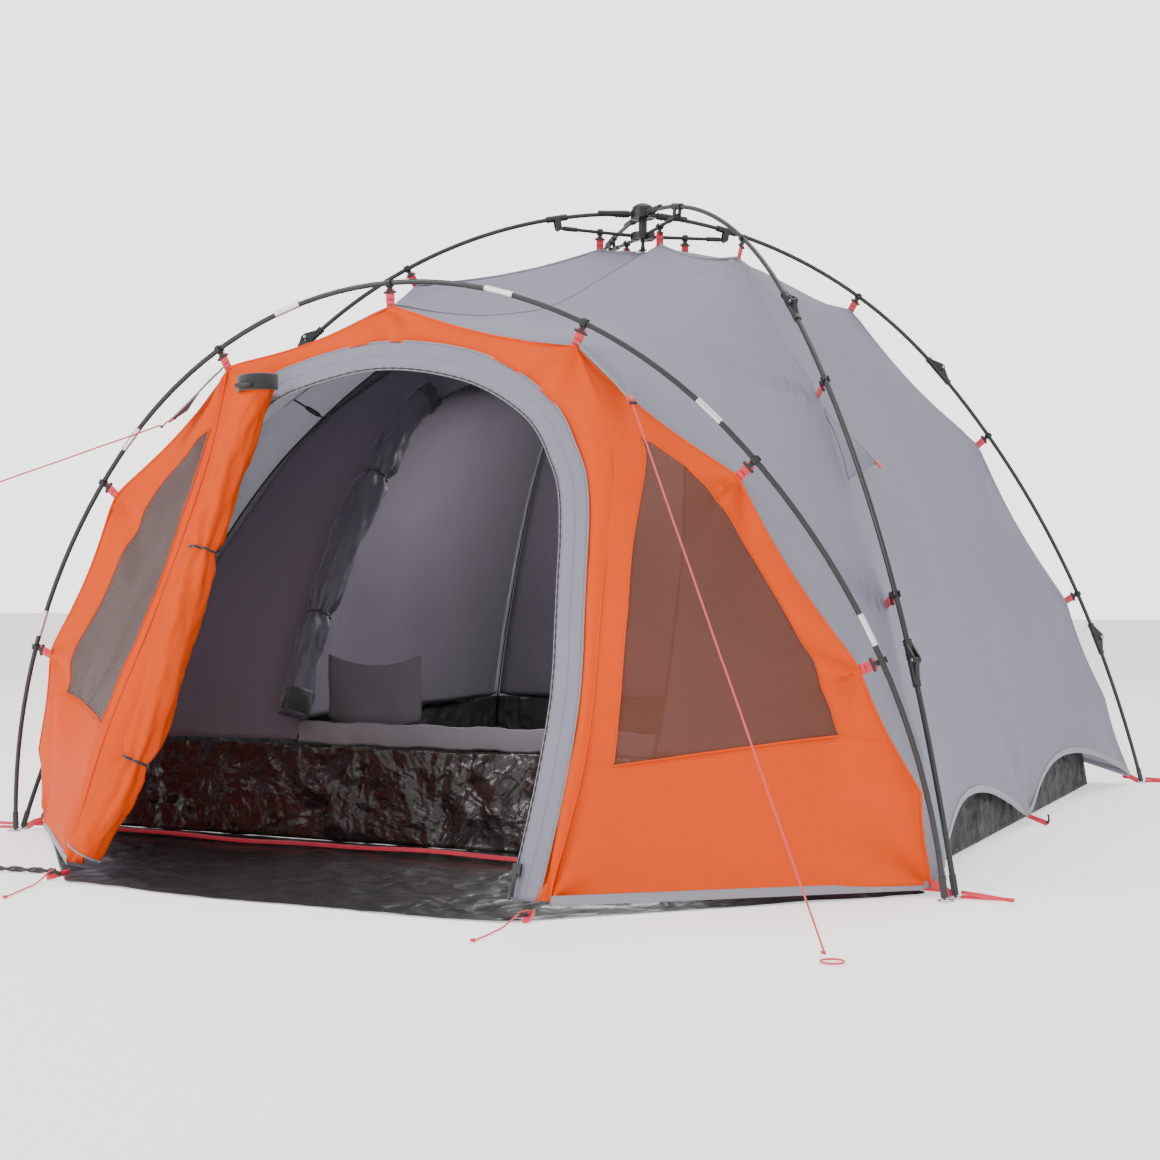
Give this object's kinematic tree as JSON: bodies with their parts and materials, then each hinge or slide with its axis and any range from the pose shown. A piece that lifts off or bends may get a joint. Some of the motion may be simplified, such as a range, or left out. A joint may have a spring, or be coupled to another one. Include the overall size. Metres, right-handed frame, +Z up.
{
  "type": "dome tent",
  "caption": "Dome tent hung under a hub-and-leg folding frame, with a crossing arch pole, an arched porch with its door rolled open, an inner cabin and guy lines.",
  "frame": {"origin": "on the ground, straight below the middle of the hub", "axes": "+X to the right seen from the porch, +Y from the porch to the back, +Z up"},
  "size_m": [2.188, 2.6648, 1.42],
  "materials": {
    "pole": "near-black satin fibreglass tube",
    "plastic": "moulded black nylon",
    "steel": "plated steel",
    "grey_fly": "light grey coated polyester with a soft sheen",
    "orange_fly": "orange coated polyester",
    "mesh": "fine dark mesh with the orange showing through",
    "red_webbing": "woven red webbing and cord",
    "cabin_cloth": "thin dark grey breathable polyester",
    "groundsheet": "glossy near-black woven polyethylene"
  },
  "bodies": {
    "tent": {"fly_front_right": "grey_fly", "fly_front_left": "grey_fly", "fly_right": "grey_fly", "fly_left": "grey_fly", "fly_back": "grey_fly", "porch_face": "orange_fly", "porch_side_right": "orange_fly", "porch_side_left": "orange_fly", "porch_windows": "mesh", "door_binding": "grey_fly", "door_roll": "orange_fly", "vent_hoods": "grey_fly", "tension_tabs": "red_webbing", "pole_clips": "plastic", "toggles": "plastic", "cabin_front": "cabin_cloth", "cabin_sides": "cabin_cloth", "cabin_back": "cabin_cloth", "cabin_door_roll": "cabin_cloth", "cabin_sill": "grey_fly", "tub_walls": "groundsheet", "tub_floor": "groundsheet", "porch_groundsheet": "groundsheet", "front_strap": "red_webbing", "corner_loops": "red_webbing", "corner_rings": "steel", "peg_left": "plastic", "guy_line_right": "red_webbing", "guy_line_left": "red_webbing", "guy_end_loops": "red_webbing", "porch_cord_right": "red_webbing", "porch_cord_left": "red_webbing"},
    "hub": {"hub": "plastic", "hub_cap": "plastic", "hub_pins": "steel"},
    "runner": {"runner": "plastic", "pull_knob": "plastic"},
    "leg_fr_top": {"leg_fr_upper_pole": "pole", "leg_fr_upper_fittings": "plastic"},
    "leg_fr_mid": {"leg_fr_middle": "pole"},
    "leg_fr_foot": {"leg_fr_lower": "pole"},
    "leg_fr_strut": {"strut_fr": "plastic"},
    "leg_fl_top": {"leg_fl_upper_pole": "pole", "leg_fl_upper_fittings": "plastic"},
    "leg_fl_mid": {"leg_fl_middle": "pole"},
    "leg_fl_foot": {"leg_fl_lower": "pole"},
    "leg_fl_strut": {"strut_fl": "plastic"},
    "leg_rr_top": {"leg_rr_upper_pole": "pole", "leg_rr_upper_fittings": "plastic"},
    "leg_rr_mid": {"leg_rr_middle": "pole"},
    "leg_rr_foot": {"leg_rr_lower": "pole"},
    "leg_rr_strut": {"strut_rr": "plastic"},
    "leg_rl_top": {"leg_rl_upper_pole": "pole", "leg_rl_upper_fittings": "plastic"},
    "leg_rl_mid": {"leg_rl_middle": "pole"},
    "leg_rl_foot": {"leg_rl_lower": "pole"},
    "leg_rl_strut": {"strut_rl": "plastic"},
    "arch": {"arch_pole": "pole", "arch_ferrules": "steel"},
    "zip_slider": {"door_zip_slider": "plastic"}
  },
  "joints": [
    {"name": "hub_drop", "type": "slide", "parent": "tent", "child": "hub", "axis": [0, 0, -1], "range_m": [0, 0.37], "deforming": ["fly_front_right", "fly_front_left", "fly_right", "fly_left", "fly_back", "porch_face", "porch_side_right", "porch_side_left", "porch_windows", "door_binding", "door_roll", "vent_hoods", "tension_tabs", "pole_clips", "toggles", "cabin_front", "cabin_sides", "cabin_back", "cabin_door_roll", "cabin_sill", "tub_walls", "corner_loops", "guy_line_right", "guy_line_left", "guy_end_loops"]},
    {"name": "runner_slide", "type": "slide", "parent": "hub", "child": "runner", "axis": [0, 0, -1], "range_m": [0, 0.324]},
    {"name": "hinge_fr", "type": "hinge", "parent": "hub", "child": "leg_fr_top", "pos_m": [0.01485, -0.01485, 1.392], "axis": [0.7071, 0.7071, 0], "range_deg": [0, 64.2]},
    {"name": "knuckle_1_fr", "type": "hinge", "parent": "leg_fr_top", "child": "leg_fr_mid", "pos_m": [0.57033, -0.57033, 1.06463], "axis": [-0.7071, -0.7071, 0], "range_deg": [0, 180.2]},
    {"name": "knuckle_2_fr", "type": "hinge", "parent": "leg_fr_mid", "child": "leg_fr_foot", "pos_m": [0.90134, -0.90134, 0.3835], "axis": [-0.7071, -0.7071, 0], "range_deg": [0, 180.2]},
    {"name": "strut_fr", "type": "hinge", "parent": "leg_fr_top", "child": "leg_fr_strut", "pos_m": [0.14912, -0.14912, 1.34706], "axis": [-0.7071, -0.7071, 0], "range_deg": [0, 139.4]},
    {"name": "hinge_fl", "type": "hinge", "parent": "hub", "child": "leg_fl_top", "pos_m": [-0.01485, -0.01485, 1.392], "axis": [0.7071, -0.7071, 0], "range_deg": [0, 64.2]},
    {"name": "knuckle_1_fl", "type": "hinge", "parent": "leg_fl_top", "child": "leg_fl_mid", "pos_m": [-0.57033, -0.57033, 1.06463], "axis": [-0.7071, 0.7071, 0], "range_deg": [0, 180.2]},
    {"name": "knuckle_2_fl", "type": "hinge", "parent": "leg_fl_mid", "child": "leg_fl_foot", "pos_m": [-0.90134, -0.90134, 0.3835], "axis": [-0.7071, 0.7071, 0], "range_deg": [0, 180.2]},
    {"name": "strut_fl", "type": "hinge", "parent": "leg_fl_top", "child": "leg_fl_strut", "pos_m": [-0.14912, -0.14912, 1.34706], "axis": [-0.7071, 0.7071, 0], "range_deg": [0, 139.4]},
    {"name": "hinge_rr", "type": "hinge", "parent": "hub", "child": "leg_rr_top", "pos_m": [0.01485, 0.01485, 1.392], "axis": [-0.7071, 0.7071, 0], "range_deg": [0, 64.2]},
    {"name": "knuckle_1_rr", "type": "hinge", "parent": "leg_rr_top", "child": "leg_rr_mid", "pos_m": [0.57033, 0.57033, 1.06463], "axis": [0.7071, -0.7071, 0], "range_deg": [0, 180.2]},
    {"name": "knuckle_2_rr", "type": "hinge", "parent": "leg_rr_mid", "child": "leg_rr_foot", "pos_m": [0.90134, 0.90134, 0.3835], "axis": [0.7071, -0.7071, 0], "range_deg": [0, 180.2]},
    {"name": "strut_rr", "type": "hinge", "parent": "leg_rr_top", "child": "leg_rr_strut", "pos_m": [0.14912, 0.14912, 1.34706], "axis": [0.7071, -0.7071, 0], "range_deg": [0, 139.4]},
    {"name": "hinge_rl", "type": "hinge", "parent": "hub", "child": "leg_rl_top", "pos_m": [-0.01485, 0.01485, 1.392], "axis": [-0.7071, -0.7071, 0], "range_deg": [0, 64.2]},
    {"name": "knuckle_1_rl", "type": "hinge", "parent": "leg_rl_top", "child": "leg_rl_mid", "pos_m": [-0.57033, 0.57033, 1.06463], "axis": [0.7071, 0.7071, 0], "range_deg": [0, 180.2]},
    {"name": "knuckle_2_rl", "type": "hinge", "parent": "leg_rl_mid", "child": "leg_rl_foot", "pos_m": [-0.90134, 0.90134, 0.3835], "axis": [0.7071, 0.7071, 0], "range_deg": [0, 180.2]},
    {"name": "strut_rl", "type": "hinge", "parent": "leg_rl_top", "child": "leg_rl_strut", "pos_m": [-0.14912, 0.14912, 1.34706], "axis": [0.7071, 0.7071, 0], "range_deg": [0, 139.4]},
    {"name": "arch_tilt", "type": "hinge", "parent": "tent", "child": "arch", "pos_m": [0, -1.022, 0.0104], "axis": [1, 0, 0], "range_deg": [0, 83.2]},
    {"name": "door_zip", "type": "slide", "parent": "tent", "child": "zip_slider", "axis": [0.0279, 0.3415, 0.9395], "range_m": [0, 0.27]}
  ],
  "couplings": [
    {"joint": "runner_slide", "follows": "hub_drop", "ratio": 0.87297},
    {"joint": "hinge_fr", "follows": "hub_drop", "rad_per_m": 3.0189},
    {"joint": "knuckle_1_fr", "follows": "hub_drop", "rad_per_m": 8.4908},
    {"joint": "knuckle_2_fr", "follows": "hub_drop", "rad_per_m": 8.4908},
    {"joint": "strut_fr", "follows": "hub_drop", "rad_per_m": 6.5662},
    {"joint": "hinge_fl", "follows": "hub_drop", "rad_per_m": 3.0189},
    {"joint": "knuckle_1_fl", "follows": "hub_drop", "rad_per_m": 8.4908},
    {"joint": "knuckle_2_fl", "follows": "hub_drop", "rad_per_m": 8.4908},
    {"joint": "strut_fl", "follows": "hub_drop", "rad_per_m": 6.5662},
    {"joint": "hinge_rr", "follows": "hub_drop", "rad_per_m": 3.0189},
    {"joint": "knuckle_1_rr", "follows": "hub_drop", "rad_per_m": 8.4908},
    {"joint": "knuckle_2_rr", "follows": "hub_drop", "rad_per_m": 8.4908},
    {"joint": "strut_rr", "follows": "hub_drop", "rad_per_m": 6.5662},
    {"joint": "hinge_rl", "follows": "hub_drop", "rad_per_m": 3.0189},
    {"joint": "knuckle_1_rl", "follows": "hub_drop", "rad_per_m": 8.4908},
    {"joint": "knuckle_2_rl", "follows": "hub_drop", "rad_per_m": 8.4908},
    {"joint": "strut_rl", "follows": "hub_drop", "rad_per_m": 6.5662},
    {"joint": "arch_tilt", "follows": "hub_drop", "rad_per_m": 3.9152}
  ]
}
